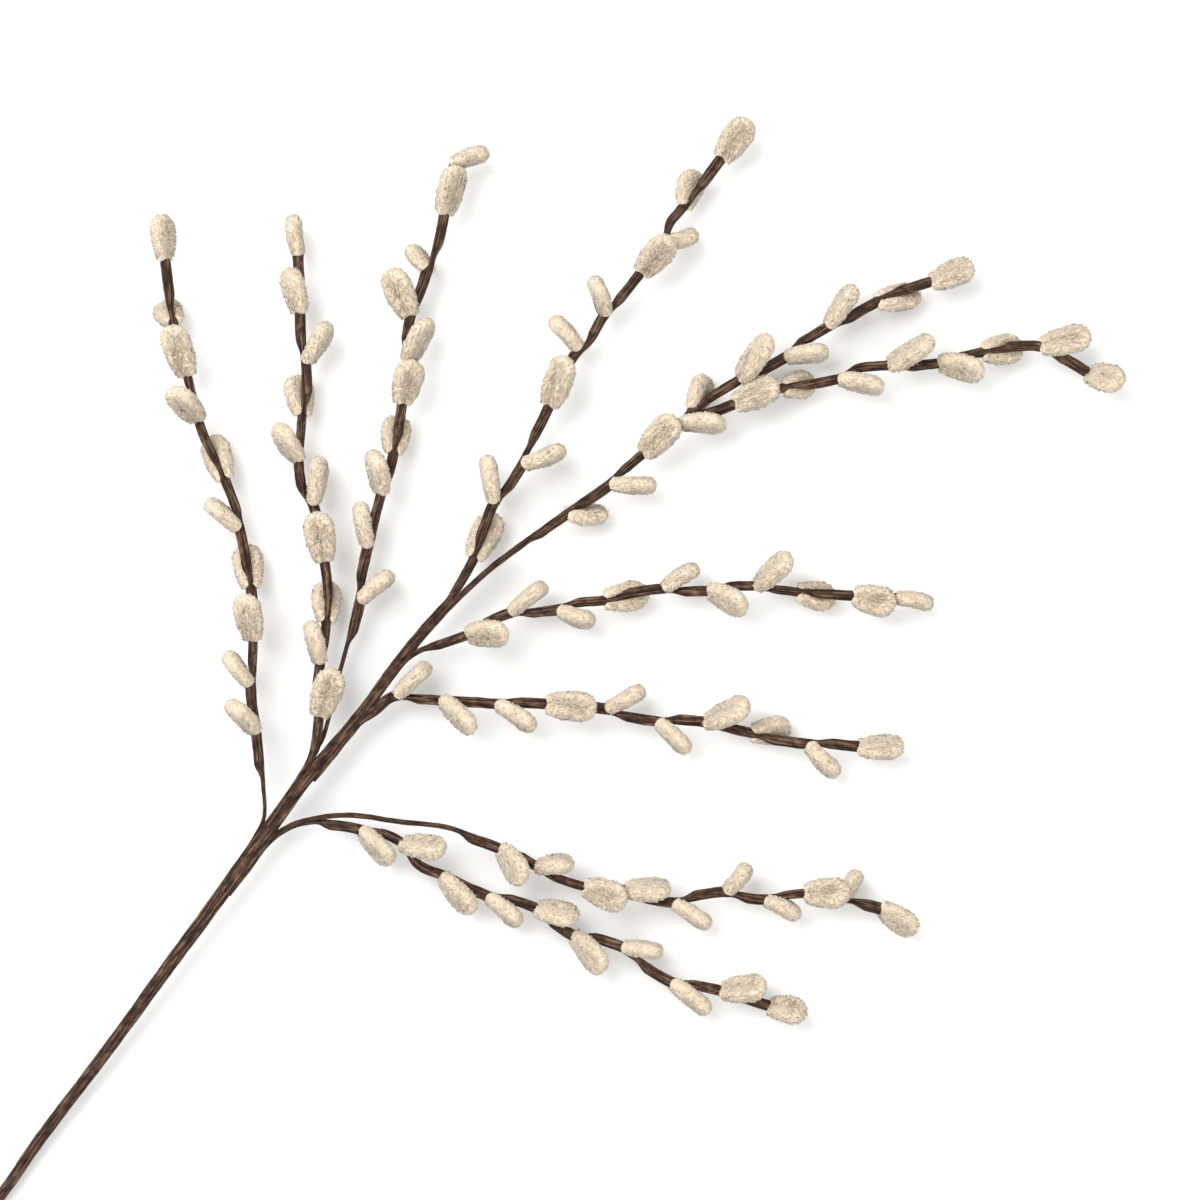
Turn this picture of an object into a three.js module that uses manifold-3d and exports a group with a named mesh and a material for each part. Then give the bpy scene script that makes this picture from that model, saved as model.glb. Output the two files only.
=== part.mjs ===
// An artificial pussy-willow spray, lying flat: ten tape-wrapped wire sprigs leave one main stem,
// and each sprig carries a row of catkins folded from chenille stem.
// Millimetres, +Z up. The lists below are measured from the main stem's cut end, with +Y up the stem
// and z above the surface the spray lies on; the group is then shifted to put the origin mid-spray.
import * as THREE from 'three';
import { mergeVertices } from 'three/addons/utils/BufferGeometryUtils.js';
import Module from 'manifold-3d';

const wasm = await Module();
wasm.setup();

// Driving dimensions
const GAP = 0.3;
const MIDDLE = { x: 2.5, y: 299.5 };
const CORE_RADIUS = 0.8;
const CORE_PROUD = 1.5;
const SPRIG_RADIUS = 1.3;
const FOOT_RADIUS = 0.55;
const LOOP_WIDTH = 13.6;
const LOOP_THICKNESS = 7;
const LOOP_BASE_HEIGHT = 1.9;
const LOOPS_PER_NODE = 2;
const STEM_SIDES = 12;
const WIRE_SIDES = 6;
const FOOT_SIDES = 5;
const LOOP_SIDES = 8;

// Half outline of a catkin: share of its half width against share of its length, base to tip.
const LOOP_OUTLINE = [[0, 0], [0.32, 0], [0.88, 0.24], [1, 0.58], [0.76, 0.88], [0, 1]];

// Main stem: its route, and its wrapping's radius by distance from the cut end.
const STEM_ROUTE = [[0, 0, 2.1], [-2, 30, 3], [-3, 58, 4], [-5, 80, 5], [-7, 123, 7], [-10, 169, 10],
  [-12, 200, 11], [-14, 230, 12], [-16, 258, 13], [-16, 291, 13], [-18, 322, 13], [-17, 352, 13]];
const STEM_RADII = [[0, 2.1], [60, 2.3], [140, 2.6], [205, 3.0], [226, 3.4], [244, 3.1], [285, 2.5],
  [300, 2.2], [330, 2.0], [352, 1.9]];

// Each sprig: its route from the stem outwards, and its catkins from the tip inwards.
// A catkin is [distance from the sprig's tip, roll round the wire (0 up, 90 left, 180 down, -90 right),
// lean away from the wire, length, turn about its own axis], in millimetres and degrees.
const SPRIGS = {
  a: {
    route: [[-20.5, 240, 12], [-27, 247, 13], [-41, 261, 13], [-55, 274, 13], [-67, 289, 13],
      [-85, 308, 13], [-102, 322, 12], [-120.5, 332.5, 12], [-138.5, 341.5, 12], [-155.5, 353.5, 13.5],
      [-176.5, 368.5, 14.5], [-193, 383.5, 14.5]],
    loops: [[0, -58, 3, 18, 0], [25, 165, 50, 13, 0], [47, 10, 15, 21, 0], [65, 20, 45, 20, 0],
      [91, -170, 20, 19, 0], [112, 90, 35, 17, 0], [136, 170, 20, 18, 0], [157, 25, 20, 19, 0],
      [175, 85, 37, 16, 0], [194, 55, 40, 17, 0]],
  },
  b: {
    route: [[-20.5, 269.5, 14], [-24.5, 276.5, 14], [-34.5, 290.5, 14], [-45.5, 307.5, 14],
      [-57, 323, 13], [-69, 334, 12], [-84, 345, 12], [-90, 348, 12], [-99.5, 356.5, 12],
      [-108.5, 368.5, 12], [-117, 380, 12], [-128, 392, 12], [-142, 407.5, 11.5], [-153.5, 419.5, 11]],
    loops: [[0, 90, 4, 16, 0], [23, 45, 15, 18, 0], [43, -80, 33, 18, 0], [64, 150, 25, 17, 0],
      [82, 50, 35, 17, 0], [101, -90, 31, 19, 0], [124, -5, 15, 20, 0], [148, 165, 22, 17, 0],
      [165, 70, 22, 17, 0], [186, -50, 20, 20, -40]],
  },
  c: {
    route: [[-21.5, 277, 11], [-25, 285, 10], [-31.5, 298, 9], [-38.5, 313, 9], [-46, 328, 10],
      [-55.5, 347, 12], [-64, 364, 13], [-69.5, 376.5, 13], [-73, 383, 13], [-82.5, 398.5, 13],
      [-92.5, 413.5, 13], [-102, 429, 13], [-107, 443, 13], [-115, 461, 12], [-124.5, 477.5, 11.5],
      [-129, 487, 11]],
    loops: [[0, -80, 58, 15, 0], [20, -35, 12, 20, 0], [43, 130, 60, 14, 0], [63, 80, 40, 20, 70],
      [81, -55, 25, 19, 0], [98, -25, 18, 18, 0], [118, 170, 25, 16, 0], [135, 50, 35, 18, 0],
      [157, 80, 22, 18, 0], [179, -90, 37, 17, 0]],
  },
  d: {
    route: [[-18.4, 353, 13], [-20, 365, 13], [-23.5, 378.5, 13], [-28.5, 393.5, 13], [-31, 410, 13],
      [-34.5, 426.5, 12], [-37, 437, 12], [-41, 451, 12], [-42, 461, 12], [-41.5, 469.5, 12],
      [-43, 478, 12], [-44, 501, 12], [-45, 517, 12], [-47, 525, 12], [-47, 532, 12],
      [-48.5, 558, 11]],
    loops: [[0, 0, 10, 19, 0], [24, 140, 24, 16, 0], [41, -110, 45, 14, 0], [56, -15, 20, 19, 0],
      [78, 65, 58, 16, 0], [96, 95, 85, 17, 0], [121, 15, 18, 21, 0], [147, -90, 40, 18, 0],
      [166, 90, 37, 19, 0], [189, 180, 15, 20, 0]],
  },
  e: {
    route: [[-16, 354.5, 13], [-14, 370.5, 13], [-10.5, 386.5, 13], [-5, 408.5, 13], [0.5, 429.5, 13],
      [4, 447.5, 13], [7.5, 471, 13], [15, 495, 12], [22, 515, 12], [28, 532, 12], [36.5, 555.5, 12],
      [48, 574, 11]],
    loops: [[0, 35, 10, 18, 0], [23, -150, 26, 19, 0], [45, 75, 25, 19, 0], [66, -80, 24, 17, 0],
      [86, 39, 34, 22, 0], [109, 140, 42, 17, 0], [116, -70, 45, 18, 0], [135, 15, 20, 20, 0],
      [153, -90, 39, 18, 0], [174, -130, 40, 17, 0]],
  },
  f: {
    loopsPerNode: 3,
    route: [[12, 473.5, 13], [16, 480, 13], [20, 487.5, 13], [25.5, 497.5, 12], [31, 505, 12],
      [43.5, 520.5, 12], [48, 528, 12], [58, 538, 12], [71.5, 552.5, 12], [82.5, 566.5, 12],
      [98, 581, 12], [107, 584, 12], [120, 586.5, 10]],
    loops: [[0, 10, 52, 17, 0], [22, 65, 28, 20, 35], [45, 180, 18, 17, 0], [63, -40, 35, 19, 0],
      [83, 45, 35, 21, 0], [104, -75, 30, 18, 0], [126, 180, 30, 14, 0], [147, 10, 15, 19, 0]],
  },
  g: {
    route: [[-14.5, 328.5, 13], [-12, 333, 13], [-3.5, 347.5, 13], [5, 364, 13], [18, 379, 13],
      [22.5, 385, 13], [30, 392.5, 13], [41, 406, 13], [56, 420, 12], [74, 436, 12], [87, 445, 12],
      [103, 457, 12], [118.5, 468, 11]],
    loops: [[0, -90, 6, 15, 0], [17, -30, 15, 17, -25], [39, -165, 20, 16, 0], [56, 50, 50, 20, 0],
      [75, -45, 40, 18, 0], [93, 85, 28, 16, 0], [117, 175, 18, 18, 0], [136, -85, 28, 15, 0],
      [155, 85, 22, 18, 0], [174, -30, 35, 18, 0]],
  },
  h: {
    route: [[-12, 298, 13], [-10.5, 306, 13], [-8.5, 309.5, 13], [-2, 315, 13], [6, 321, 13],
      [22, 333, 13], [38, 345, 13], [58, 358, 12], [76, 369, 12], [92, 380, 12], [108.5, 388.5, 12],
      [127.5, 400.5, 11], [145.5, 412.5, 10]],
    loops: [[0, 50, 12, 18, 0], [20, -85, 39, 17, 0], [43, 150, 28, 17, 0], [62, 45, 45, 21, 0],
      [81, -85, 38, 17, 0], [102, 90, 37, 17, 0], [126, 5, 15, 20, 0], [146, -80, 31, 18, 0],
      [168, -55, 45, 19, 0], [186, 80, 32, 18, 0]],
  },
  i: {
    route: [[-9.5, 240.5, 13], [-8, 244, 13], [-3, 251, 13], [7, 261, 13], [23.5, 271.5, 13],
      [40.5, 282.5, 13], [49.5, 285.5, 13], [62.5, 290, 12], [78.5, 292.5, 12], [98, 300, 12],
      [111, 308, 12], [128, 318, 12], [141.5, 332.5, 11], [155.5, 342.5, 11], [167, 354, 10],
      [182, 363, 10], [194, 369, 9]],
    loops: [[0, -45, 25, 17, 0], [15, 110, 75, 12, 0], [31, 10, 20, 18, 0], [47, -85, 28, 15, 0],
      [63, 85, 52, 14, 0], [84, -90, 34, 17, 0], [104, 50, 15, 18, 0], [120, -15, 18, 18, 0],
      [141, 60, 35, 15, 0], [157, -35, 45, 18, 0]],
  },
  j: {
    route: [[1.5, 252.5, 10.5], [10.5, 258.3, 11], [19, 262, 11.5], [29, 264.7, 12], [41.5, 264, 12],
      [49.5, 266.5, 11], [69, 272, 11], [88.5, 279.5, 11], [106, 282, 10], [124, 289, 10],
      [148, 293, 10], [167, 302, 9], [185, 310, 9]],
    loops: [[0, 30, 12, 15, 0], [20, 40, 33, 19, 0], [40, -75, 18, 19, 0], [64, 85, 19, 16, 0],
      [84, -50, 32, 19, 0], [102, 45, 20, 17, 0], [122, -80, 21, 17, 0], [142, -60, 25, 19, 0],
      [163, 50, 40, 19, 0], [180, -70, 30, 18, -10]],
  },
};

const tape = new THREE.MeshStandardMaterial({ color: 0x54423a, roughness: 0.85, metalness: 0 });
const chenille = new THREE.MeshStandardMaterial({ color: 0xe8dcc8, roughness: 1, metalness: 0 });
const steel = new THREE.MeshStandardMaterial({ color: 0x9b9a97, roughness: 0.4, metalness: 1 });

const up = new THREE.Vector3(0, 0, 1);
const radians = THREE.MathUtils.degToRad;

function smoothCurve(points) {
  return new THREE.CatmullRomCurve3(points.map((point) => new THREE.Vector3(...point)), false, 'centripetal');
}

// The point and the three directions of a curve at a distance along it: along, left and above.
function frameAt(curve, distance) {
  const share = THREE.MathUtils.clamp(distance / curve.getLength(), 0, 1);
  const along = curve.getTangentAt(share);
  const left = new THREE.Vector3().crossVectors(up, along).normalize();
  const above = new THREE.Vector3().crossVectors(along, left);
  return { point: curve.getPointAt(share), along, left, above };
}

// The direction that leaves the wire at a roll angle: 0 is above it and 90 is to its left.
function outwards(frame, roll) {
  return frame.above.clone().multiplyScalar(Math.cos(roll)).addScaledVector(frame.left, Math.sin(roll));
}

// A geometry as a manifold solid, with shared vertices merged and flat triangles dropped.
function toSolid(geometry) {
  const bare = new THREE.BufferGeometry();
  bare.setAttribute('position', geometry.attributes.position);
  bare.setIndex(geometry.index);
  const merged = mergeVertices(bare, 1e-3);
  const corners = merged.index.array;
  const kept = [];
  for (let i = 0; i < corners.length; i += 3) {
    const [a, b, c] = corners.slice(i, i + 3);
    if (a !== b && b !== c && c !== a) kept.push(a, b, c);
  }
  const vertProperties = new Float32Array(merged.attributes.position.array);
  const triVerts = new Uint32Array(kept);
  return new wasm.Manifold(new wasm.Mesh({ numProp: 3, vertProperties, triVerts }));
}

function toGeometry(solid) {
  const mesh = solid.getMesh();
  const geometry = new THREE.BufferGeometry();
  geometry.setAttribute('position', new THREE.BufferAttribute(new Float32Array(mesh.vertProperties), 3));
  geometry.setIndex(new THREE.BufferAttribute(new Uint32Array(mesh.triVerts), 1));
  return geometry;
}

function named(name, solid, material) {
  const mesh = new THREE.Mesh(toGeometry(solid), material);
  mesh.name = name;
  return mesh;
}

// Turns a profile of [radius, distance] pairs round +Y and bends it so that +Y follows the curve.
function bentTurning(profile, sides, curve) {
  const outline = profile.map(([radius, distance]) => new THREE.Vector2(radius, distance));
  const geometry = new THREE.LatheGeometry(outline, sides);
  const position = geometry.attributes.position;
  for (let i = 0; i < position.count; i += 1) {
    const frame = frameAt(curve, position.getY(i));
    const place = frame.point.addScaledVector(frame.left, -position.getX(i));
    place.addScaledVector(frame.above, position.getZ(i));
    position.setXYZ(i, place.x, place.y, place.z);
  }
  return toSolid(geometry);
}

// Distances from start to end in equal steps no longer than the step given, both ends included.
function steps(start, end, step) {
  const count = Math.max(1, Math.ceil(Math.abs(end - start) / step));
  return Array.from({ length: count + 1 }, (_, i) => start + (end - start) * (i / count));
}

// A round rod of one radius along the curve.
function rod(curve, radius, sides, step, start = 0, end = curve.getLength()) {
  const profile = [[0, start], ...steps(start, end, step).map((at) => [radius, at]), [0, end]];
  return bentTurning(profile, sides, curve);
}

function radiusAt(radii, distance) {
  const next = radii.findIndex(([at]) => at > distance);
  if (next < 1) return radii[next < 0 ? radii.length - 1 : 0][1];
  const [a, low] = radii[next - 1];
  const [b, high] = radii[next];
  return THREE.MathUtils.mapLinear(distance, a, b, low, high);
}

// The main stem's wrapping: a tapered sleeve, closed at the fan, with a bore for the core wire.
function stemWrapping(curve) {
  const step = 14;
  const length = curve.getLength();
  const boreEnd = length - 5;
  const bore = CORE_RADIUS + GAP;
  const inside = steps(boreEnd, 0, step).map((at) => [bore, at]);
  const outside = steps(0, length, step).map((at) => [radiusAt(STEM_RADII, at), at]);
  return bentTurning([[0, boreEnd], ...inside, ...outside, [0, length]], STEM_SIDES, curve);
}

function coreWire(curve) {
  const step = 14;
  const end = curve.getLength() - 6;
  const proud = bentTurning([[0, 0], [CORE_RADIUS, 0], [CORE_RADIUS, CORE_PROUD + 1], [0, CORE_PROUD + 1]],
    LOOP_SIDES, smoothCurve([[0, -CORE_PROUD, 2.1], [0, 1, 2.1]]));
  return rod(curve, CORE_RADIUS, LOOP_SIDES, step, 0, end).add(proud);
}

// One catkin: a flat, round-tipped pad, pinched where its feet are bound to the wire, and flattened
// where it lies against the wire.
function catkin(curve, [fromTip, roll, lean, length, turn]) {
  const frame = frameAt(curve, curve.getLength() - fromTip);
  const out = outwards(frame, radians(roll));
  const atTip = fromTip === 0;
  const outline = LOOP_OUTLINE.map(([half, along]) => new THREE.Vector2(half, along));
  const geometry = new THREE.LatheGeometry(outline, LOOP_SIDES);
  geometry.scale(LOOP_WIDTH / 2, length, LOOP_THICKNESS / 2);
  geometry.rotateY(radians(turn));
  const axis = frame.along.clone().multiplyScalar(Math.cos(radians(lean)));
  axis.addScaledVector(out, Math.sin(radians(lean)));
  const across = new THREE.Vector3().crossVectors(frame.along, out);
  const normal = new THREE.Vector3().crossVectors(across, axis);
  const base = frame.point.clone();
  if (atTip) base.addScaledVector(frame.along, GAP + 0.1);
  else base.addScaledVector(out, LOOP_BASE_HEIGHT);
  geometry.applyMatrix4(new THREE.Matrix4().makeBasis(across, axis, normal).setPosition(base));
  keepOffWire(geometry, frame, atTip ? frame.along : out, atTip ? GAP : SPRIG_RADIUS + GAP);
  return toSolid(geometry);
}

// Moves every point that is nearer than the clearance, measured outwards, to the clearance.
function keepOffWire(geometry, frame, direction, clearance) {
  const position = geometry.attributes.position;
  const point = new THREE.Vector3();
  for (let i = 0; i < position.count; i += 1) {
    point.fromBufferAttribute(position, i);
    const height = point.clone().sub(frame.point).dot(direction);
    if (height < clearance) point.addScaledVector(direction, clearance - height);
    position.setXYZ(i, point.x, point.y, point.z);
  }
}

// The bound feet between two catkins: a thin rod beside the wire that turns from one's roll to the other's.
function boundFeet(curve, upper, lower) {
  const reach = 2.5;
  const away = SPRIG_RADIUS + GAP + FOOT_RADIUS;
  const start = curve.getLength() - upper[0] + reach;
  const end = curve.getLength() - lower[0] + 1;
  const sweep = ((lower[1] - upper[1] + 540) % 360) - 180;
  const points = steps(0, 1, 0.2).map((share) => {
    const distance = THREE.MathUtils.lerp(start, end, share);
    const frame = frameAt(curve, distance);
    const spare = Math.max(0, distance - curve.getLength());
    frame.point.addScaledVector(frame.along, spare);
    return frame.point.addScaledVector(outwards(frame, radians(upper[1] + sweep * share)), away).toArray();
  });
  return rod(smoothCurve(points), FOOT_RADIUS, FOOT_SIDES, 4);
}

const group = new THREE.Group();
group.position.set(-MIDDLE.x, -MIDDLE.y, 0);

const stemCurve = smoothCurve(STEM_ROUTE);
group.add(named('stem_wrapping', stemWrapping(stemCurve), tape));
group.add(named('core_wire', coreWire(stemCurve), steel));

for (const [letter, sprig] of Object.entries(SPRIGS)) {
  const curve = smoothCurve(sprig.route);
  group.add(named(`sprig_${letter}`, rod(curve, SPRIG_RADIUS, WIRE_SIDES, 12), tape));
  const perNode = sprig.loopsPerNode ?? LOOPS_PER_NODE;
  for (let first = 0; first < sprig.loops.length; first += perNode) {
    const bound = sprig.loops.slice(first, first + perNode);
    let solid = catkin(curve, bound[0]);
    for (let i = 1; i < bound.length; i += 1) {
      solid = solid.add(boundFeet(curve, bound[i - 1], bound[i])).add(catkin(curve, bound[i]));
    }
    group.add(named(`catkins_${letter}${first + 1}_${first + bound.length}`, solid, chenille));
  }
}

export default group;
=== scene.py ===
import math
import random

import bmesh
import bpy
from mathutils import Matrix, Vector, noise


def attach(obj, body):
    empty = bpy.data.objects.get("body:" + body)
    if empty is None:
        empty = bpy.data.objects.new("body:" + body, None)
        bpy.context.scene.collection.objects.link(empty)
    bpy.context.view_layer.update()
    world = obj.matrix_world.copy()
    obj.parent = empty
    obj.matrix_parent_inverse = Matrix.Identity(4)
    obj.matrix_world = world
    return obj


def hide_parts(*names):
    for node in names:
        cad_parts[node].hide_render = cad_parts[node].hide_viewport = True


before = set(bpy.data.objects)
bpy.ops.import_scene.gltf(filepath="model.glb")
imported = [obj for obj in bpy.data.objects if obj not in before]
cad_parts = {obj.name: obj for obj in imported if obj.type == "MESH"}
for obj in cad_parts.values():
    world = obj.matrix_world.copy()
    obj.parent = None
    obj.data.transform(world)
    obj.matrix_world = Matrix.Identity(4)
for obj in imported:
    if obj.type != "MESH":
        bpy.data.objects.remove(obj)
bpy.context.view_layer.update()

# An artificial pussy-willow spray, lying flat. The lists are in millimetres from the main stem's cut end,
# as the CAD part gives them, and the pieces are made in metres round the middle of the spray.
MM = 0.001
MIDDLE = Vector((2.5, 299.5, 0))

STEM_ROUTE = [[0, 0, 2.1], [-2, 30, 3], [-3, 58, 4], [-5, 80, 5], [-7, 123, 7], [-10, 169, 10],
              [-12, 200, 11], [-14, 230, 12], [-16, 258, 13], [-16, 291, 13], [-18, 322, 13], [-17, 352, 13]]
STEM_RADII = [[0, 2.1], [60, 2.3], [140, 2.6], [205, 3.0], [226, 3.3], [244, 3.0], [285, 2.4],
              [300, 2.1], [330, 1.9], [345, 1.9], [354, 1.3]]

# Each sprig: its route outwards from the stem, and its catkins from the tip inwards, each as [distance
# from the tip, roll round the wire (0 up, 90 left), lean, length, turn about its own axis], with its
# angles in degrees.
SPRIGS = {
    "a": {
        "route": [[-20.5, 240, 12], [-27, 247, 13], [-41, 261, 13], [-55, 274, 13], [-67, 289, 13],
            [-85, 308, 13], [-102, 322, 12], [-120.5, 332.5, 12], [-138.5, 341.5, 12], [-155.5, 353.5, 13.5],
            [-176.5, 368.5, 14.5], [-193, 383.5, 14.5]],
        "catkins": [[0, -58, 3, 18, 0], [25, 165, 50, 13, 0], [47, 10, 15, 21, 0], [65, 20, 45, 20, 0],
            [91, -170, 20, 19, 0], [112, 90, 35, 17, 0], [136, 170, 20, 18, 0], [157, 25, 20, 19, 0],
            [175, 85, 37, 16, 0], [194, 55, 40, 17, 0]],
    },
    "b": {
        "route": [[-20.5, 269.5, 14], [-24.5, 276.5, 14], [-34.5, 290.5, 14], [-45.5, 307.5, 14],
            [-57, 323, 13], [-69, 334, 12], [-84, 345, 12], [-90, 348, 12], [-99.5, 356.5, 12],
            [-108.5, 368.5, 12], [-117, 380, 12], [-128, 392, 12], [-142, 407.5, 11.5], [-153.5, 419.5, 11]],
        "catkins": [[0, 90, 4, 16, 0], [23, 45, 15, 18, 0], [43, -80, 33, 18, 0], [64, 150, 25, 17, 0],
            [82, 50, 35, 17, 0], [101, -90, 31, 19, 0], [124, -5, 15, 20, 0], [148, 165, 22, 17, 0],
            [165, 70, 22, 17, 0], [186, -50, 20, 20, -40]],
    },
    "c": {
        "route": [[-21.5, 277, 11], [-25, 285, 10], [-31.5, 298, 9], [-38.5, 313, 9], [-46, 328, 10],
            [-55.5, 347, 12], [-64, 364, 13], [-69.5, 376.5, 13], [-73, 383, 13], [-82.5, 398.5, 13],
            [-92.5, 413.5, 13], [-102, 429, 13], [-107, 443, 13], [-115, 461, 12], [-124.5, 477.5, 11.5],
            [-129, 487, 11]],
        "catkins": [[0, -80, 58, 15, 0], [20, -35, 12, 20, 0], [43, 130, 60, 14, 0], [63, 80, 40, 20, 70],
            [81, -55, 25, 19, 0], [98, -25, 18, 18, 0], [118, 170, 25, 16, 0], [135, 50, 35, 18, 0],
            [157, 80, 22, 18, 0], [179, -90, 37, 17, 0]],
    },
    "d": {
        "route": [[-18.4, 353, 13], [-20, 365, 13], [-23.5, 378.5, 13], [-28.5, 393.5, 13], [-31, 410, 13],
            [-34.5, 426.5, 12], [-37, 437, 12], [-41, 451, 12], [-42, 461, 12], [-41.5, 469.5, 12],
            [-43, 478, 12], [-44, 501, 12], [-45, 517, 12], [-47, 525, 12], [-47, 532, 12],
            [-48.5, 558, 11]],
        "catkins": [[0, 0, 10, 19, 0], [24, 140, 24, 16, 0], [41, -110, 45, 14, 0], [56, -15, 20, 19, 0],
            [78, 65, 58, 16, 0], [96, 95, 85, 17, 0], [121, 15, 18, 21, 0], [147, -90, 40, 18, 0],
            [166, 90, 37, 19, 0], [189, 180, 15, 20, 0]],
    },
    "e": {
        "route": [[-16, 354.5, 13], [-14, 370.5, 13], [-10.5, 386.5, 13], [-5, 408.5, 13], [0.5, 429.5, 13],
            [4, 447.5, 13], [7.5, 471, 13], [15, 495, 12], [22, 515, 12], [28, 532, 12], [36.5, 555.5, 12],
            [48, 574, 11]],
        "catkins": [[0, 35, 10, 18, 0], [23, -150, 26, 19, 0], [45, 75, 25, 19, 0], [66, -80, 24, 17, 0],
            [86, 39, 34, 22, 0], [109, 140, 42, 17, 0], [116, -70, 45, 18, 0], [135, 15, 20, 20, 0],
            [153, -90, 39, 18, 0], [174, -130, 40, 17, 0]],
    },
    "f": {
        "per_node": 3,
        "route": [[12, 473.5, 13], [16, 480, 13], [20, 487.5, 13], [25.5, 497.5, 12], [31, 505, 12],
            [43.5, 520.5, 12], [48, 528, 12], [58, 538, 12], [71.5, 552.5, 12], [82.5, 566.5, 12],
            [98, 581, 12], [107, 584, 12], [120, 586.5, 10]],
        "catkins": [[0, 10, 52, 17, 0], [22, 65, 28, 20, 35], [45, 180, 18, 17, 0], [63, -40, 35, 19, 0],
            [83, 45, 35, 21, 0], [104, -75, 30, 18, 0], [126, 180, 30, 14, 0], [147, 10, 15, 19, 0]],
    },
    "g": {
        "route": [[-14.5, 328.5, 13], [-12, 333, 13], [-3.5, 347.5, 13], [5, 364, 13], [18, 379, 13],
            [22.5, 385, 13], [30, 392.5, 13], [41, 406, 13], [56, 420, 12], [74, 436, 12], [87, 445, 12],
            [103, 457, 12], [118.5, 468, 11]],
        "catkins": [[0, -90, 6, 15, 0], [17, -30, 15, 17, -25], [39, -165, 20, 16, 0], [56, 50, 50, 20, 0],
            [75, -45, 40, 18, 0], [93, 85, 28, 16, 0], [117, 175, 18, 18, 0], [136, -85, 28, 15, 0],
            [155, 85, 22, 18, 0], [174, -30, 35, 18, 0]],
    },
    "h": {
        "route": [[-12, 298, 13], [-10.5, 306, 13], [-8.5, 309.5, 13], [-2, 315, 13], [6, 321, 13],
            [22, 333, 13], [38, 345, 13], [58, 358, 12], [76, 369, 12], [92, 380, 12], [108.5, 388.5, 12],
            [127.5, 400.5, 11], [145.5, 412.5, 10]],
        "catkins": [[0, 50, 12, 18, 0], [20, -85, 39, 17, 0], [43, 150, 28, 17, 0], [62, 45, 45, 21, 0],
            [81, -85, 38, 17, 0], [102, 90, 37, 17, 0], [126, 5, 15, 20, 0], [146, -80, 31, 18, 0],
            [168, -55, 45, 19, 0], [186, 80, 32, 18, 0]],
    },
    "i": {
        "route": [[-9.5, 240.5, 13], [-8, 244, 13], [-3, 251, 13], [7, 261, 13], [23.5, 271.5, 13],
            [40.5, 282.5, 13], [49.5, 285.5, 13], [62.5, 290, 12], [78.5, 292.5, 12], [98, 300, 12],
            [111, 308, 12], [128, 318, 12], [141.5, 332.5, 11], [155.5, 342.5, 11], [167, 354, 10],
            [182, 363, 10], [194, 369, 9]],
        "catkins": [[0, -45, 25, 17, 0], [15, 110, 75, 12, 0], [31, 10, 20, 18, 0], [47, -85, 28, 15, 0],
            [63, 85, 52, 14, 0], [84, -90, 34, 17, 0], [104, 50, 15, 18, 0], [120, -15, 18, 18, 0],
            [141, 60, 35, 15, 0], [157, -35, 45, 18, 0]],
    },
    "j": {
        "route": [[1.5, 252.5, 10.5], [10.5, 258.3, 11], [19, 262, 11.5], [29, 264.7, 12], [41.5, 264, 12],
            [49.5, 266.5, 11], [69, 272, 11], [88.5, 279.5, 11], [106, 282, 10], [124, 289, 10],
            [148, 293, 10], [167, 302, 9], [185, 310, 9]],
        "catkins": [[0, 30, 12, 15, 0], [20, 40, 33, 19, 0], [40, -75, 18, 19, 0], [64, 85, 19, 16, 0],
            [84, -50, 32, 19, 0], [102, 45, 20, 17, 0], [122, -80, 21, 17, 0], [142, -60, 25, 19, 0],
            [163, 50, 40, 19, 0], [180, -70, 30, 18, -10]],
    },
}

# How each sprig's wire comes out of its parent's wrapping: points before the first one of its route.
JOINS = {
    "a": [[-15.2, 214, 12], [-16.5, 227, 12.4], [-18.3, 236, 12.3]],
    "b": [[-16.3, 235, 13.4], [-17.3, 250, 14], [-18.2, 259, 14.3], [-19.2, 265, 14.2]],
    "c": [[-16.6, 236, 11.5], [-17.7, 250, 12], [-18.7, 260, 12.2], [-20.2, 269, 12]],
    "d": [[-18.3, 312, 13.4], [-18.9, 330, 13.4], [-18.6, 345, 13.2]],
    "e": [[-16.6, 312, 12.7], [-16.9, 332, 12.7], [-16.6, 346, 12.9]],
    "f": [[5, 450, 12.4], [6.6, 460, 12.4], [8.8, 467.5, 12.6]],
    "g": [[-15, 300, 13.3], [-16, 314, 13.3], [-16.2, 322.5, 13.2]],
    "h": [[-13.8, 262, 13.6], [-13.9, 276, 13.6], [-14.2, 286, 13.5], [-13.9, 292.5, 13.2]],
    "i": [[-10, 205, 11.8], [-10.6, 218, 12.2], [-11.3, 229, 12.7], [-11, 236, 13]],
    "j": [[-10.8, 218, 10.7], [-11.3, 230, 11.2], [-9.4, 239.3, 11.6], [-6.6, 244.6, 11.7],
        [-2.2, 249.7, 11.2]],
}
CATKINS_PER_NODE = 2

# The steel core: its radius, how far it stands out of the tape with a chamfered end, and how far in it is
# made.
CORE_RADIUS = 0.8
CORE_CHAMFER = 0.15
CORE_PROUD = 1.5
CORE_INSIDE = 12
CORE_STEP = 0.3

# Chenille: 6 mm craft stem, a matted body with pile standing out of it, folded into a hairpin. LEG is the
# centre line of one leg from its bound foot, and LEG_END_RADII says how the body widens from there.
CHENILLE_RADIUS = 2.7
LEG = [(1.2, -0.8), (1.5, 0.3), (2.1, 3.0), (2.7, 6.5)]
LEG_END_RADII = [[0, 1.2], [0.5, 1.9], [1.1, 2.2], [3.8, 2.5], [7, CHENILLE_RADIUS]]
CHENILLE_STEP = 0.6
CHENILLE_SIDES = 24

# Catkins are copies of a few masters, whose lengths are spread evenly. A catkin's base lies out beside its
# wire's middle, or just past its end at a tip.
MASTERS = 12
SHORTEST, LONGEST = 14, 21
BASE_BESIDE = 1.3
BASE_PAST_TIP = 0.2

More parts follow.
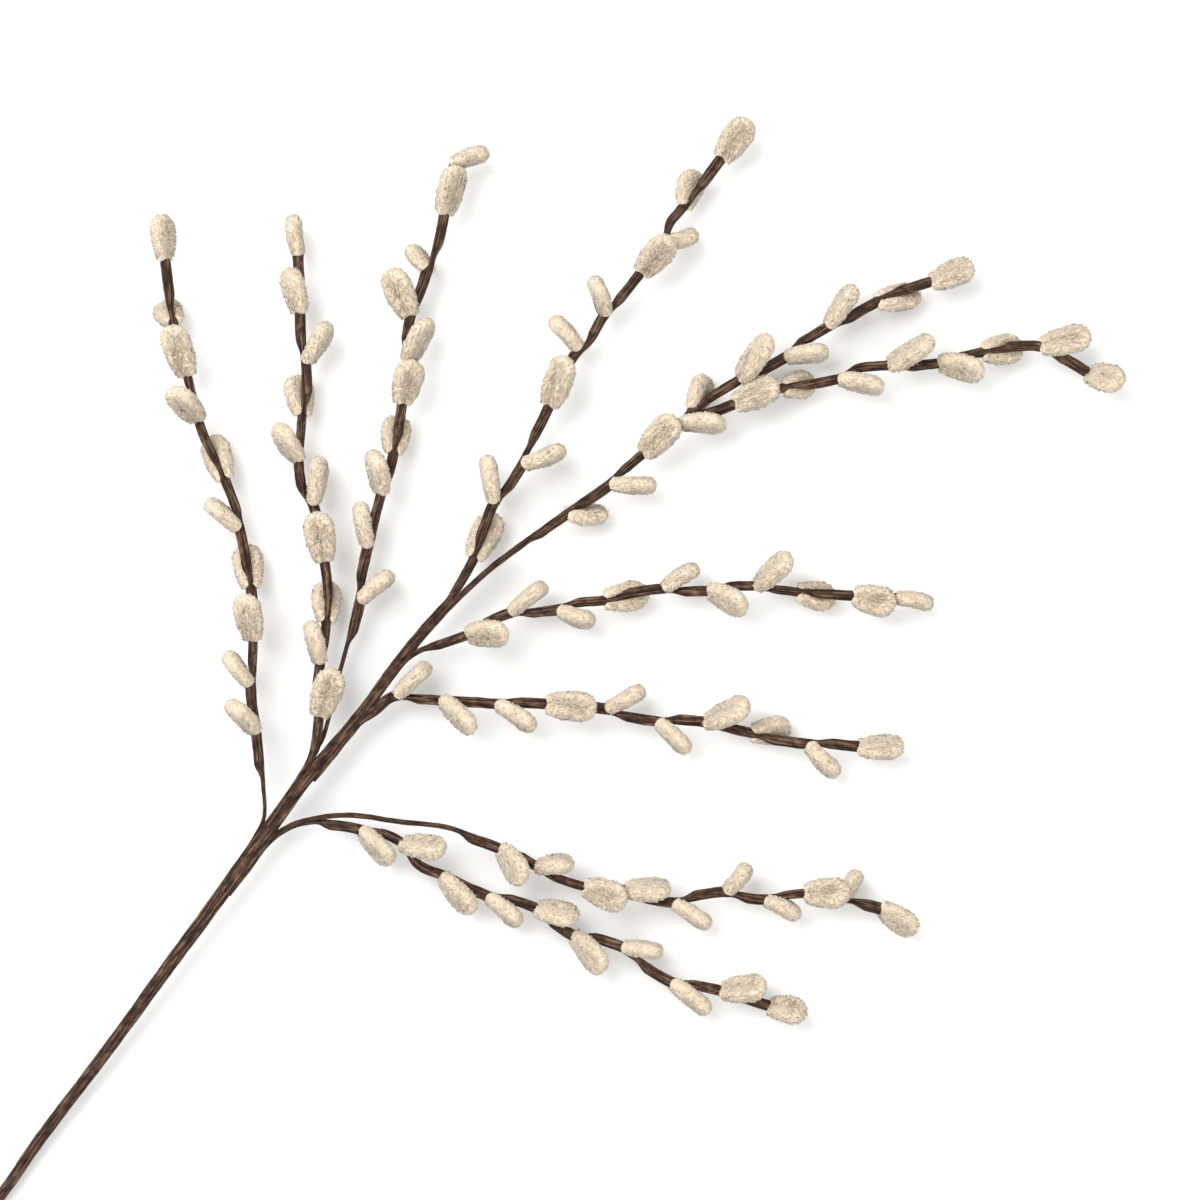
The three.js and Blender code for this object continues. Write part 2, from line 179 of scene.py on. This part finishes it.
# The pile's fibres: thin spikes with their roots inside the matted body, longer on the turns of the core.
# Real ones are about 0.03 mm thick, and these are coarser and fewer, so that they show. PILE_DEPTH is what
# they add to a catkin's length.
PILE_DEPTH = 0.3
FIBRES = 3400
FIBRE_RADIUS = 0.1
FIBRE_REACH = (0.2, 1.0)
FIBRE_ROOT = 0.15
FIBRE_LEAN = 0.4
FIBRE_CORNERS = 4
PILE_PITCH = 1.4
# The shade values are painted shade in the pile: the body and the fibres' roots darker than the fibres'
# tips.
BODY_SHADE, ROOT_SHADE, TIP_SHADE = 0.5, 0.45, 0.8

# Floral tape, wound in a shallow spiral over the wires. A sprig's wrapping has its root radius below the
# feet of its last catkin. The stem's runs on a little past the end of its route.
WIRE_RADIUS = 1.2
ROOT_RADII = {"a": 0.75, "b": 1.2, "c": 0.85, "d": 1.3, "e": 1.25, "f": 1.1, "g": 1.1, "h": 1.35,
              "i": 1.0, "j": 0.95}
TAPE_LAP = 0.07
TAPE_PITCH = 9.0
STEM_TAPE_PITCH = 14.0
TAPE_STEP = 0.5
STEM_RUN_ON = 2.0
SPRIG_SIDES, STEM_SIDES = 24, 32

# Catkins' feet, bound beside the wire under the tape. They swell the wrapping on the catkin's side, down to
# a waist before the next catkin, and the tape's edge over them slants with the catkin. At a tip they are
# thicker and nearly in line with the wire.
FOOT_RADIUS = (1.85, 2.25)
FOOT_OFFSET = 1.1
FOOT_LENGTH = 20.0
FOOT_TAPER = 7.0
FOOT_SLANT = 1.5
WAIST = 2.0
TIP_FOOT_OFFSET = 0.4
TIP_FOOT_SWELL = 0.3

random.seed(31)


# ---- curves -----------------------------------------------------------------------------------------

def spline_point(a, b, c, d, share):
    """A point between b and c on the centripetal Catmull-Rom curve through the four points."""
    knots = [0.0]
    for near, far in ((a, b), (b, c), (c, d)):
        knots.append(knots[-1] + max((far - near).length, 1e-4) ** 0.5)
    t0, t1, t2, t3 = knots
    t = t1 + (t2 - t1) * share
    ab = a.lerp(b, (t - t0) / (t1 - t0))
    bc = b.lerp(c, (t - t1) / (t2 - t1))
    cd = c.lerp(d, (t - t2) / (t3 - t2))
    left = ab.lerp(bc, (t - t0) / (t2 - t0))
    right = bc.lerp(cd, (t - t1) / (t3 - t1))
    return left.lerp(right, (t - t1) / (t2 - t1))


class Route:
    """A smooth curve through a few points, measured along its length."""

    PIECES = 12
    UP = Vector((0, 0, 1))

    def __init__(self, points):
        points = [Vector(point) for point in points]
        ends = [2 * points[0] - points[1], *points, 2 * points[-1] - points[-2]]
        self.points = []
        for four in zip(ends, ends[1:], ends[2:], ends[3:]):
            self.points += [spline_point(*four, i / self.PIECES) for i in range(self.PIECES)]
        self.points.append(points[-1])
        self.marks = [0.0]
        for near, far in zip(self.points, self.points[1:]):
            self.marks.append(self.marks[-1] + (far - near).length)
        self.length = self.marks[-1]

    def point(self, distance):
        """The point at a distance along the curve, which runs on straight past its ends."""
        low, high = 0, len(self.marks) - 1
        while high - low > 1:
            middle = (low + high) // 2
            if self.marks[middle] > distance:
                high = middle
            else:
                low = middle
        span = self.marks[high] - self.marks[low]
        return self.points[low].lerp(self.points[high], (distance - self.marks[low]) / span)

    def at(self, distance):
        """The point at a distance, and the directions along, to the left and above there."""
        along = (self.point(distance + 0.4) - self.point(distance - 0.4)).normalized()
        left = self.UP.cross(along).normalized()
        return self.point(distance), along, left, along.cross(left)


def outwards(left, above, roll):
    """The direction away from a route at a roll round it: 0 up, 90 degrees left."""
    return above * math.cos(roll) + left * math.sin(roll)


def between(table, distance):
    """Reads a value off a list of [distance, value] pairs."""
    for (near, low), (far, high) in zip(table, table[1:]):
        if distance <= far:
            return low + (high - low) * max(0.0, distance - near) / (far - near)
    return table[-1][1]


def smooth_step(low, high, value):
    """0 at low and 1 at high, with a smooth rise between them."""
    share = min(1.0, max(0.0, (value - low) / (high - low)))
    return share * share * (3 - 2 * share)


# ---- materials --------------------------------------------------------------------------------------

def colour(code):
    """A hex sRGB colour as linear RGBA."""
    values = [int(code[i:i + 2], 16) / 255 for i in (1, 3, 5)]
    linear = [v / 12.92 if v <= 0.04045 else ((v + 0.055) / 1.055) ** 2.4 for v in values]
    return (*linear, 1.0)


def add_node(tree, kind, inputs=None, stops=(), **settings):
    """Adds a node with its settings and links.

    An input is a value, or a socket to link from. A stop of a colour ramp is (place, hex colour)."""
    node = tree.nodes.new(kind)
    for name, value in settings.items():
        setattr(node, name, value)
    for name, value in (inputs or {}).items():
        if isinstance(value, bpy.types.NodeSocket):
            tree.links.new(value, node.inputs[name])
        else:
            node.inputs[name].default_value = value
    for index, (place, code) in enumerate(stops):
        if index == len(node.color_ramp.elements):
            node.color_ramp.elements.new(1.0)
        node.color_ramp.elements[index].position = place
        node.color_ramp.elements[index].color = colour(code)
    return node


def new_material(name):
    """An empty node material, and its tree."""
    material = bpy.data.materials.new(name)
    material.use_nodes = True
    material.node_tree.nodes.clear()
    return material, material.node_tree


def cream_chenille_pile():
    """Viscose chenille, cut pile on a twisted core: matt, soft at the edge, with painted shade darker down
    between the fibres.
    """
    material, tree = new_material("cream_chenille_pile")
    place = add_node(tree, "ShaderNodeTexCoord").outputs["Object"]
    wrap = add_node(tree, "ShaderNodeUVMap", uv_map="wrap").outputs["UV"]
    # The shade attribute is painted shade: low on the body and the fibres' roots, lower in the hole and the
    # seam, higher at the fibres' tips.
    depth = add_node(tree, "ShaderNodeAttribute", attribute_name="shade").outputs["Fac"]
    # Fibre tufts are about 0.3 mm; the speckle is drawn at 0.5 mm, the finest that shows.
    tufts = add_node(tree, "ShaderNodeTexNoise", {"Vector": place, "Scale": 2000.0, "Detail": 2.0})
    # Partings, 3 mm long, run round each leg between the turns of the core: noise cells of 0.67 mm along the
    # leg give one every 1.3 mm or so. They are bumped in and painted darker, a painted shade down in them.
    around = add_node(tree, "ShaderNodeMapping", {"Vector": wrap, "Scale": (1500.0, 330.0, 1.0)})
    parting = add_node(tree, "ShaderNodeTexNoise",
                       {"Vector": around.outputs["Vector"], "Scale": 1.0, "Detail": 1.0})
    parted = add_node(tree, "ShaderNodeMapRange",
                      {"Value": parting.outputs["Fac"], "From Min": 0.34, "From Max": 0.48})
    speckle = add_node(tree, "ShaderNodeMath", {0: tufts.outputs["Fac"], 1: 0.25}, operation="MULTIPLY")
    lines = add_node(tree, "ShaderNodeMath", {0: parted.outputs["Result"], 1: 0.2, 2: speckle.outputs[0]},
                     operation="MULTIPLY_ADD")
    mixed = add_node(tree, "ShaderNodeMath", {0: depth, 1: 0.7, 2: lines.outputs[0]},
                     operation="MULTIPLY_ADD")
    tint = add_node(tree, "ShaderNodeValToRGB", {"Fac": mixed.outputs[0]},
                    stops=((0.14, "#846D4C"), (0.4, "#C9B290"), (0.62, "#E2D1B9"), (0.9, "#EDE1CE")))
    bump = add_node(tree, "ShaderNodeBump",
                    {"Height": lines.outputs[0], "Strength": 0.5, "Distance": 0.0006})
    shader = add_node(tree, "ShaderNodeBsdfPrincipled", {
        "Base Color": tint.outputs["Color"], "Roughness": 0.95, "Specular IOR Level": 0.12,
        "Sheen Weight": 0.2, "Sheen Roughness": 0.6, "Normal": bump.outputs["Normal"]})
    add_node(tree, "ShaderNodeOutputMaterial", {"Surface": shader.outputs["BSDF"]})
    return material


def brown_floral_tape():
    """Waxed crepe paper: matt, with creases along the winding and a mottle in the wax; the creases' ridges
    carry a painted highlight, and their hollows and the lapped edges painted shade.
    """
    material, tree = new_material("brown_floral_tape")
    wrap = add_node(tree, "ShaderNodeUVMap", uv_map="wrap").outputs["UV"]
    place = add_node(tree, "ShaderNodeTexCoord").outputs["Object"]
    edge = add_node(tree, "ShaderNodeAttribute", attribute_name="shade").outputs["Fac"]
    # The crepe's creases are 0.3 mm apart; they are drawn at 0.8 mm, and 11 mm long, so that they show. The
    # mottle of the wax has patches of 4 mm.
    winding = add_node(tree, "ShaderNodeMapping",
                       {"Vector": wrap, "Rotation": (0, 0, math.radians(10)), "Scale": (90.0, 1300.0, 1.0)})
    creases = add_node(tree, "ShaderNodeTexNoise",
                       {"Vector": winding.outputs["Vector"], "Scale": 1.0, "Detail": 3.0, "Roughness": 0.6})
    mottle = add_node(tree, "ShaderNodeTexNoise", {"Vector": place, "Scale": 260.0, "Detail": 4.0})
    # The colour follows the creases: their ridges are painted paler and their hollows darker, a painted
    # highlight and painted shade beside their bump. The mottle is the wax's own tone.
    both = add_node(tree, "ShaderNodeMix",
                    {"Factor": 0.22, "A": creases.outputs["Fac"], "B": mottle.outputs["Fac"]})
    # Painted shade along the lapped edge of each turn, where it steps over the last.
    lapped = add_node(tree, "ShaderNodeMath", {0: edge, 1: -0.05, 2: both.outputs["Result"]},
                      operation="MULTIPLY_ADD")
    tint = add_node(tree, "ShaderNodeValToRGB", {"Fac": lapped.outputs[0]},
                    stops=((0.36, "#160C07"), (0.5, "#412D22"), (0.66, "#866B55")))
    dull = add_node(tree, "ShaderNodeMapRange",
                    {"Value": creases.outputs["Fac"], "To Min": 0.6, "To Max": 0.9})
    bump = add_node(tree, "ShaderNodeBump",
                    {"Height": creases.outputs["Fac"], "Strength": 0.9, "Distance": 0.0008})
    shader = add_node(tree, "ShaderNodeBsdfPrincipled", {
        "Base Color": tint.outputs["Color"], "Roughness": dull.outputs["Result"], "Specular IOR Level": 0.18,
        "Normal": bump.outputs["Normal"]})
    add_node(tree, "ShaderNodeOutputMaterial", {"Surface": shader.outputs["BSDF"]})
    return material


def cut_steel_wire():
    """Annealed steel wire, cut with pliers: dull grey, with shear marks 0.4 mm apart."""
    material, tree = new_material("cut_steel_wire")
    place = add_node(tree, "ShaderNodeTexCoord").outputs["Object"]
    scores = add_node(tree, "ShaderNodeTexNoise", {"Vector": place, "Scale": 2500.0, "Detail": 2.0})
    tint = add_node(tree, "ShaderNodeValToRGB", {"Fac": scores.outputs["Fac"]},
                    stops=((0.3, "#6F6D69"), (0.7, "#A9A7A2")))
    dull = add_node(tree, "ShaderNodeMapRange",
                    {"Value": scores.outputs["Fac"], "To Min": 0.3, "To Max": 0.5})
    bump = add_node(tree, "ShaderNodeBump",
                    {"Height": scores.outputs["Fac"], "Strength": 0.4, "Distance": 0.0001})
    shader = add_node(tree, "ShaderNodeBsdfPrincipled", {
        "Base Color": tint.outputs["Color"], "Metallic": 1.0, "Roughness": dull.outputs["Result"],
        "Normal": bump.outputs["Normal"]})
    add_node(tree, "ShaderNodeOutputMaterial", {"Surface": shader.outputs["BSDF"]})
    return material


def pale_floor():
    """Matt white painted board, faintly uneven."""
    material, tree = new_material("pale_floor")
    place = add_node(tree, "ShaderNodeTexCoord").outputs["Object"]
    cloud = add_node(tree, "ShaderNodeTexNoise", {"Vector": place, "Scale": 6.0, "Detail": 3.0})
    tint = add_node(tree, "ShaderNodeValToRGB", {"Fac": cloud.outputs["Fac"]},
                    stops=((0.3, "#F6F6F5"), (0.7, "#FAFAF9")))
    shader = add_node(tree, "ShaderNodeBsdfPrincipled",
                      {"Base Color": tint.outputs["Color"], "Roughness": 0.9})
    add_node(tree, "ShaderNodeOutputMaterial", {"Surface": shader.outputs["BSDF"]})
    return material


CHENILLE = cream_chenille_pile()
TAPE = brown_floral_tape()
STEEL = cut_steel_wire()


# ---- pieces -----------------------------------------------------------------------------------------

def to_piece(name, mesh, material, slot, *nodes):
    """Makes a mesh a piece of the spray, in place of its CAD nodes."""
    mesh.materials.append(material)
    piece = bpy.data.objects.new(name, mesh)
    bpy.context.scene.collection.objects.link(piece)
    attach(piece, "root")
    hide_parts(*nodes)


def to_mesh(bm, name):
    """Turns a bmesh into a smooth-shaded mesh, and frees it."""
    mesh = bpy.data.meshes.new(name)
    for face in bm.faces:
        face.smooth = True
    bm.to_mesh(mesh)
    bm.free()
    return mesh


def skin(route, start, end, step, sides, radius_at, shade_at):
    """A closed tube along a route, as a bmesh in millimetres.

    radius_at(distance, angle) is its radius, and shade_at(distance, angle) goes to its material."""
    bm = bmesh.new()
    rings = max(2, round((end - start) / step))
    bmesh.ops.create_grid(bm, x_segments=rings, y_segments=sides, size=0.5)
    wrap = bm.loops.layers.uv.new("wrap")
    shade = bm.verts.layers.float.new("shade")
    frames = [route.at(start + (end - start) * i / rings) for i in range(rings + 1)]
    grid_places = {vert: (vert.co.x + 0.5, vert.co.y + 0.5) for vert in bm.verts}
    girth = 2 * math.pi * radius_at((start + end) / 2, 0)
    for face in bm.faces:
        for loop in face.loops:
            share, turn = grid_places[loop.vert]
            loop[wrap].uv = ((start + (end - start) * share) * MM, girth * turn * MM)
    for vert, (share, turn) in grid_places.items():
        point, _, left, above = frames[round(share * rings)]
        distance, angle = start + (end - start) * share, 2 * math.pi * (turn % 1.0)
        vert.co = point + outwards(left, above, angle) * radius_at(distance, angle)
        vert[shade] = shade_at(distance, angle)
    bmesh.ops.remove_doubles(bm, verts=bm.verts, dist=1e-4)
    rims = [edge for edge in bm.edges if edge.is_boundary]
    for edge in rims:
        edge.smooth = False
    bmesh.ops.holes_fill(bm, edges=rims, sides=0)
    bmesh.ops.recalc_face_normals(bm, faces=bm.faces)
    return bm


def place_in_frame(bm):
    """Moves a shape from the lists' millimetres to the frame's metres."""
    bmesh.ops.translate(bm, verts=bm.verts, vec=-MIDDLE)
    bmesh.ops.scale(bm, verts=bm.verts, vec=(MM, MM, MM))


# ---- catkins ----------------------------------------------------------------------------------------

def hairpin(bend_y, half_gap, bow, twist):
    """The folded chenille's centre line: +Y from the bound feet to the bend, X across, Z thick."""
    arc = [(half_gap * math.cos(a), bend_y + half_gap * math.sin(a))
           for a in (math.radians(d) for d in range(0, 181, 30))]
    flat = LEG + arc + [(-x, y) for x, y in reversed(LEG)]
    return [(x, y, bow * math.sin(math.pi * max(0, y) / bend_y / 1.5) + twist * x * max(0, y) / bend_y)
            for x, y in flat]


def fibre_matrix(face, wrap):
    """Stands a fibre on a face, leaning a little at random and longer along the core's twist."""
    lean = Vector([random.uniform(-FIBRE_LEAN, FIBRE_LEAN) for _ in range(3)])
    along = (face.normal + lean).normalized()
    corners = [vert.co for vert in face.verts]
    shares = [random.random() for _ in corners]
    foot = sum((c * s for c, s in zip(corners, shares)), Vector()) / sum(shares)
    distance, turn = face.loops[0][wrap].uv / MM
    twist = 0.5 + 0.5 * math.sin(2 * math.pi * distance / PILE_PITCH + turn / CHENILLE_RADIUS)
    reach = random.uniform(*FIBRE_REACH) * (0.6 + 0.5 * twist) + FIBRE_ROOT
    turned = along.to_track_quat("Z", "Y").to_matrix().to_4x4()
    return Matrix.Translation(foot - along * FIBRE_ROOT) @ turned @ Matrix.Diagonal((1, 1, reach, 1))


def catkin_master(name, length, half_gap, bow, twist):
    """One folded length of chenille with its pile, standing on the origin along +Y, in millimetres."""
    bend_y = length - half_gap - CHENILLE_RADIUS - PILE_DEPTH
    route = Route(hairpin(bend_y, half_gap, bow, twist / half_gap))
    lumps = Vector([random.uniform(0, 50) for _ in range(3)])
    hole = Vector((random.uniform(-0.4, 0.4), bend_y - random.uniform(0, 2.5), 0))

    def body_radius(distance, angle):
        from_end = min(distance, route.length - distance)
        size = between(LEG_END_RADII, from_end)
        around = Vector((math.cos(angle), math.sin(angle), distance * 0.5))
        # The two legs' piles mat together and fill the groove between them.
        matted = 1 + 0.25 * smooth_step(0.15, 0.78, math.sin(angle))
        return size * matted * (1 + 0.03 * noise.noise(lumps + around))

    bm = skin(route, 0, route.length, CHENILLE_STEP, CHENILLE_SIDES, body_radius,
              lambda distance, angle: BODY_SHADE)
    wrap = bm.loops.layers.uv["wrap"]
    shade = bm.verts.layers.float["shade"]
    for vert in bm.verts:
        # Painted shade: darker in the small hole inside the bend and along the seam between the legs, where
        # shade falls.
        from_hole = math.hypot(vert.co.x - hole.x, (vert.co.y - hole.y) * 0.6)
        vert[shade] -= 0.45 * (1 - smooth_step(0.3, 1.1, from_hole))
        seam = 1 - smooth_step(0.1, 0.9, abs(vert.co.x))
        seam_ends = smooth_step(1, 4, vert.co.y) * (1 - smooth_step(bend_y - 1, bend_y + 1, vert.co.y))
        vert[shade] -= 0.12 * seam * seam_ends
    # Fibres stand all over the body but for its end caps and where the legs face each other.
    rooted = []
    for face in bm.faces:
        middle = face.calc_center_median()
        faces_in = -face.normal.x * math.copysign(1, middle.x)
        if len(face.verts) == 4 and middle.y > -0.5 and (faces_in < 0.5 or middle.y < 0.5):
            rooted.append(face)
    areas = [face.calc_area() for face in rooted]
    feet = [fibre_matrix(face, wrap) for face in random.choices(rooted, areas, k=FIBRES)]

    tuft = bmesh.new()
    tuft_shade = tuft.verts.layers.float.new("shade")
    bmesh.ops.create_cone(tuft, cap_ends=True, segments=3, radius1=FIBRE_RADIUS, radius2=0, depth=1,
                          matrix=Matrix.Translation((0, 0, 0.5)))
    # Painted shade: each fibre darker at its root than at its tip.
    for vert in tuft.verts:
        vert[tuft_shade] = TIP_SHADE if vert.co.z > 0.5 else ROOT_SHADE
    while len(tuft.verts) < FIBRE_CORNERS * FIBRES:
        bmesh.ops.duplicate(tuft, geom=tuft.verts[:] + tuft.edges[:] + tuft.faces[:])
    tuft.verts.ensure_lookup_table()
    for i, matrix in enumerate(feet):
        for vert in tuft.verts[FIBRE_CORNERS * i:FIBRE_CORNERS * (i + 1)]:
            vert.co = matrix @ vert.co
    bmesh.ops.delete(tuft, geom=tuft.verts[FIBRE_CORNERS * FIBRES:], context="VERTS")
    tuft_mesh = to_mesh(tuft, name + "_tuft")
    bm.from_mesh(tuft_mesh)
    bpy.data.meshes.remove(tuft_mesh)
    return to_mesh(bm, name)


def catkin_place(route, from_tip, roll, lean, length, turn):
    """Where a catkin stands on its sprig: its own X across, Y along and Z thick."""
    point, along, left, above = route.at(route.length - from_tip)
    out = outwards(left, above, math.radians(roll))
    lean, turn = math.radians(lean), math.radians(turn)
    axis = along * math.cos(lean) + out * math.sin(lean)
    across = along.cross(out)
    normal = across.cross(axis)
    base = point + (along * BASE_PAST_TIP if from_tip == 0 else out * BASE_BESIDE)
    basis = Matrix((across, axis, normal)).transposed().to_4x4()
    return Matrix.Translation(base) @ basis @ Matrix.Rotation(turn, 4, "Y")


def node_of(letter, index):
    """The CAD node that holds a sprig's catkin, counted from 0 at the tip."""
    per_node = SPRIGS[letter].get("per_node", CATKINS_PER_NODE)
    first = index - index % per_node + 1
    last = min(first + per_node - 1, len(SPRIGS[letter]["catkins"]))
    return f"catkins_{letter}{first}_{last}"


def add_catkin(letter, index, route):
    """One catkin, from a master of nearly its length, turned over at random and stretched to fit."""
    from_tip, roll, lean, length, turn = SPRIGS[letter]["catkins"][index]
    choices = sorted(range(MASTERS), key=lambda i: abs(lengths[i] - length))[:3]
    pick = random.choice(choices)
    mesh = masters[pick].copy()
    flip = Matrix.Rotation(math.pi * random.randint(0, 1), 4, "Y")
    stretch = Matrix.Diagonal((1, length / lengths[pick], 1, 1))
    to_frame = Matrix.Scale(MM, 4) @ Matrix.Translation(-MIDDLE)
    mesh.transform(to_frame @ catkin_place(route, from_tip, roll, lean, length, turn) @ stretch @ flip)
    to_piece(f"catkin_{letter}{index + 1}", mesh, CHENILLE, "chenille", node_of(letter, index))


# ---- tape wrappings ---------------------------------------------------------------------------------

def tape_share(distance, angle, pitch):
    """How far across the tape's width a place is, from 0 at its lapped edge to 1."""
    return (distance / pitch + angle / (2 * math.pi)) % 1.0


def lap(distance, angle, pitch=TAPE_PITCH):
    """The step where each turn of the tape covers the last one."""
    return TAPE_LAP * (1 - tape_share(distance, angle, pitch)) ** 2


def lap_edge_shade(distance, angle, pitch=TAPE_PITCH):
    """The painted shade along the tape's lapped edge, at the step over the last turn: 1 on the edge, fading
    to 0 on both sides of it.
    """
    share = tape_share(distance, angle, pitch)
    return 1 - smooth_step(0.0, 0.12, min(share, 1 - share))


def creased(distance, angle, seed):
    """Lumps and lengthways creases in the stretched crepe, in millimetres."""
    around = Vector((math.cos(angle), math.sin(angle), 0))
    lump = noise.noise(around * 0.8 + Vector((seed, 0, distance * 0.18)))
    crease = noise.noise(around * 3.5 + Vector((0, seed, distance * 0.1)))
    return 0.13 * lump + 0.15 * crease


def drawn_tight(turn, wire, offset, bundle):
    """How far out the tape lies that wraps the wire and a bundle beside it, at a turn from the bundle."""
    reach = wire
    for share in (0.25, 0.5, 0.75, 1.0):
        middle, round_it = offset * share, wire + (bundle - wire) * share
        side = middle * math.sin(turn)
        if abs(side) < round_it:
            reach = max(reach, middle * math.cos(turn) + math.sqrt(round_it ** 2 - side ** 2))
    return reach


def bound_feet(catkins):
    """Where each catkin's feet are bound: distance from the tip, length, roll, slant, offset and radius."""
    feet = []
    for (from_tip, roll, lean, *_), following in zip(catkins, [*catkins[1:], None]):
        room = following[0] - from_tip - WAIST if following else FOOT_LENGTH
        length = min(room, FOOT_LENGTH + random.uniform(-2, 2))
        offset = FOOT_OFFSET if from_tip else TIP_FOOT_OFFSET
        radius = random.uniform(*FOOT_RADIUS) + (0.0 if from_tip else TIP_FOOT_SWELL)
        slant = FOOT_SLANT * math.tan(math.radians(min(lean, 45)))
        feet.append((from_tip, length, math.radians(roll), slant, offset, radius))
    return feet


def add_sprig(letter):
    """A sprig's wrapping: tight on its wire, swollen where a catkin's feet are bound, bare at its root."""
    sprig = SPRIGS[letter]
    route = Route(JOINS[letter] + sprig["route"])
    seed = ord(letter) * 3.7
    feet = bound_feet(sprig["catkins"])

    def radius_at(distance, angle):
        from_tip = route.length - distance
        # Along the last catkin's feet the wrapping comes down to its root radius.
        last_start, last_length = feet[-1][:2]
        bare = smooth_step(last_start + 8, last_start + last_length + 4, from_tip)
        radius = WIRE_RADIUS + (ROOT_RADII[letter] - WIRE_RADIUS) * bare
        for start, length, roll, slant, offset, foot_radius in feet:
            turn = angle - roll
            below = from_tip - start - slant * (math.cos(turn) - 1) * 0.5
            # The feet swell the wrapping over 0.4 mm, thin a little along their length, and taper off.
            if -0.3 < below < length:
                size = smooth_step(-0.2, 0.2, below) * (1 - smooth_step(length - FOOT_TAPER, length, below))
                size *= 1 - 0.15 * max(0, below) / length
                bundle = radius + (foot_radius - radius) * size
                radius = drawn_tight(turn, radius, offset * size, bundle)
        return radius + lap(distance, angle) + creased(distance, angle, seed)

    # The tape's shade attribute is painted shade along its lapped edges.
    bm = skin(route, 0, route.length, TAPE_STEP, SPRIG_SIDES, radius_at, lap_edge_shade)
    place_in_frame(bm)
    name = f"sprig_{letter}_tape"
    to_piece(name, to_mesh(bm, name), TAPE, "floral_tape", f"sprig_{letter}")


def add_stem(route):
    """The main stem's wrapping, over the core and the ends of the sprigs' wires."""
    def radius_at(distance, angle):
        # The wires inside show through as three long ridges, which wind slowly round.
        ridges = 0.06 * math.cos(3 * angle + distance * 0.012)
        size = between(STEM_RADII, distance) * (0.97 + ridges)
        return size + lap(distance, angle, STEM_TAPE_PITCH) + creased(distance, angle, 5)

    # Painted shade along the lapped edges of the stem's tape.
    def lap_shade_at(distance, angle):
        return lap_edge_shade(distance, angle, STEM_TAPE_PITCH)

    bm = skin(route, 0, route.length + STEM_RUN_ON, TAPE_STEP, STEM_SIDES, radius_at, lap_shade_at)
    place_in_frame(bm)
    to_piece("main_stem_tape", to_mesh(bm, "main_stem_tape"), TAPE, "floral_tape", "stem_wrapping")


def add_core_wire(route):
    """The stiff wire inside the stem, standing out of the tape at the cut end."""
    def radius_at(distance, angle):
        return CORE_RADIUS - CORE_CHAMFER * smooth_step(CORE_STEP - CORE_PROUD, -CORE_PROUD, distance)

    bm = skin(route, -CORE_PROUD, CORE_INSIDE, CORE_STEP, SPRIG_SIDES, radius_at,
              lambda distance, angle: 0.0)
    place_in_frame(bm)
    to_piece("core_wire_end", to_mesh(bm, "core_wire_end"), STEEL, "core_wire", "core_wire")


# ---- the spray --------------------------------------------------------------------------------------

lengths = [SHORTEST + (LONGEST - SHORTEST) * i / (MASTERS - 1) for i in range(MASTERS)]
masters = [catkin_master(f"catkin_master_{i}", length, half_gap=random.uniform(2.75, 3.15),
                         bow=random.uniform(0.2, 0.8), twist=random.uniform(-0.6, 0.6))
           for i, length in enumerate(lengths)]
stem_route = Route(STEM_ROUTE)
add_stem(stem_route)
add_core_wire(stem_route)
for letter, sprig in SPRIGS.items():
    add_sprig(letter)
    sprig_route = Route(sprig["route"])
    for index in range(len(sprig["catkins"])):
        add_catkin(letter, index, sprig_route)
for master in masters:
    bpy.data.meshes.remove(master)


# ---- floor, light and camera ------------------------------------------------------------------------

# The camera looks straight down, with the stem running up to the right.
VIEW_TURN = math.radians(50)
VIEW_MIDDLE = Vector((0.0255, 0.0915, 0))
VIEW_HEIGHT = 1.613
right = Vector((math.sin(VIEW_TURN), math.cos(VIEW_TURN), 0))
upwards = Vector((-math.cos(VIEW_TURN), math.sin(VIEW_TURN), 0))


def add_floor():
    """A pale board under the spray."""
    bm = bmesh.new()
    bmesh.ops.create_grid(bm, x_segments=1, y_segments=1, size=3.0)
    mesh = to_mesh(bm, "floor")
    mesh.materials.append(pale_floor())
    floor = bpy.data.objects.new("floor", mesh)
    bpy.context.scene.collection.objects.link(floor)


def add_light(name, place, size, watts):
    """A round soft light that faces the middle of the spray."""
    data = bpy.data.lights.new(name, "AREA")
    data.shape = "DISK"
    data.size = size
    data.energy = watts
    lamp = bpy.data.objects.new(name, data)
    lamp.location = place
    lamp.rotation_euler = (-Vector(place)).to_track_quat("-Z", "Y").to_euler()
    bpy.context.scene.collection.objects.link(lamp)


def add_camera():
    """A long lens straight above."""
    data = bpy.data.cameras.new("camera")
    data.lens = 120
    data.sensor_width = 36
    camera = bpy.data.objects.new("camera", data)
    turn = Matrix((right, upwards, Vector((0, 0, 1)))).transposed()
    camera.matrix_world = Matrix.Translation(VIEW_MIDDLE + Vector((0, 0, VIEW_HEIGHT))) @ turn.to_4x4()
    bpy.context.scene.collection.objects.link(camera)
    bpy.context.scene.camera = camera


def add_daylight():
    """Even white light from all round."""
    world = bpy.data.worlds.new("soft_room")
    world.use_nodes = True
    world.node_tree.nodes["Background"].inputs["Color"].default_value = (1, 1, 1, 1)
    world.node_tree.nodes["Background"].inputs["Strength"].default_value = 0.83
    bpy.context.scene.world = world


add_floor()
add_light("key", upwards * 0.9 - right * 0.9 + Vector((0, 0, 1.7)), 1.7, 33)
add_light("fill", right * 1.2 - upwards * 0.7 + Vector((0, 0, 1.6)), 1.6, 10)
add_camera()
add_daylight()
bpy.context.scene.view_settings.view_transform = "Standard"
